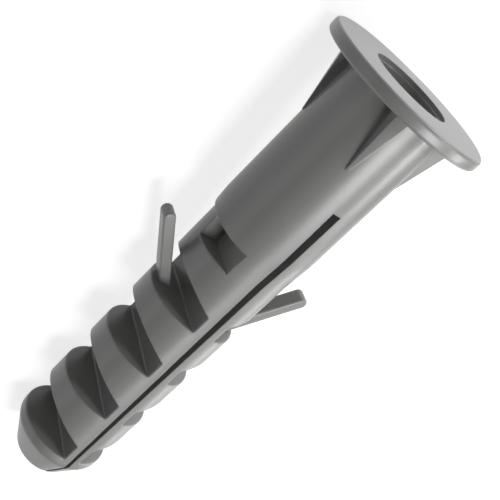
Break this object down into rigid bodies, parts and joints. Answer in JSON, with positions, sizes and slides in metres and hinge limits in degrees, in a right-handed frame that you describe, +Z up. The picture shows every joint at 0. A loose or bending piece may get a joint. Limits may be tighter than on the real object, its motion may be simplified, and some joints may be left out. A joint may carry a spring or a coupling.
{
  "type": "wall plug",
  "caption": "Collared plastic wall plug with a plain sleeve, a lengthwise expansion slit, barbed tapering legs and two swept-back anti-rotation wings.",
  "frame": {"origin": "middle of the plug's footprint, on the ground it lies on", "axes": "+X along the plug from the collar towards the tip, level; +Z up; the plug lies on the collar's rim and the shoulder of the tip with both wings clear of the ground, the slit leaning 16 degrees over towards -Y and its own axis sloping down by about 4.4 degrees towards the tip"},
  "size_m": [0.0506, 0.0162, 0.0163],
  "materials": {
    "wall_plug": "moulded nylon, semi-matt, neutral mid grey"
  },
  "bodies": {
    "root": {"wall_plug": "wall_plug"}
  },
  "joints": []
}
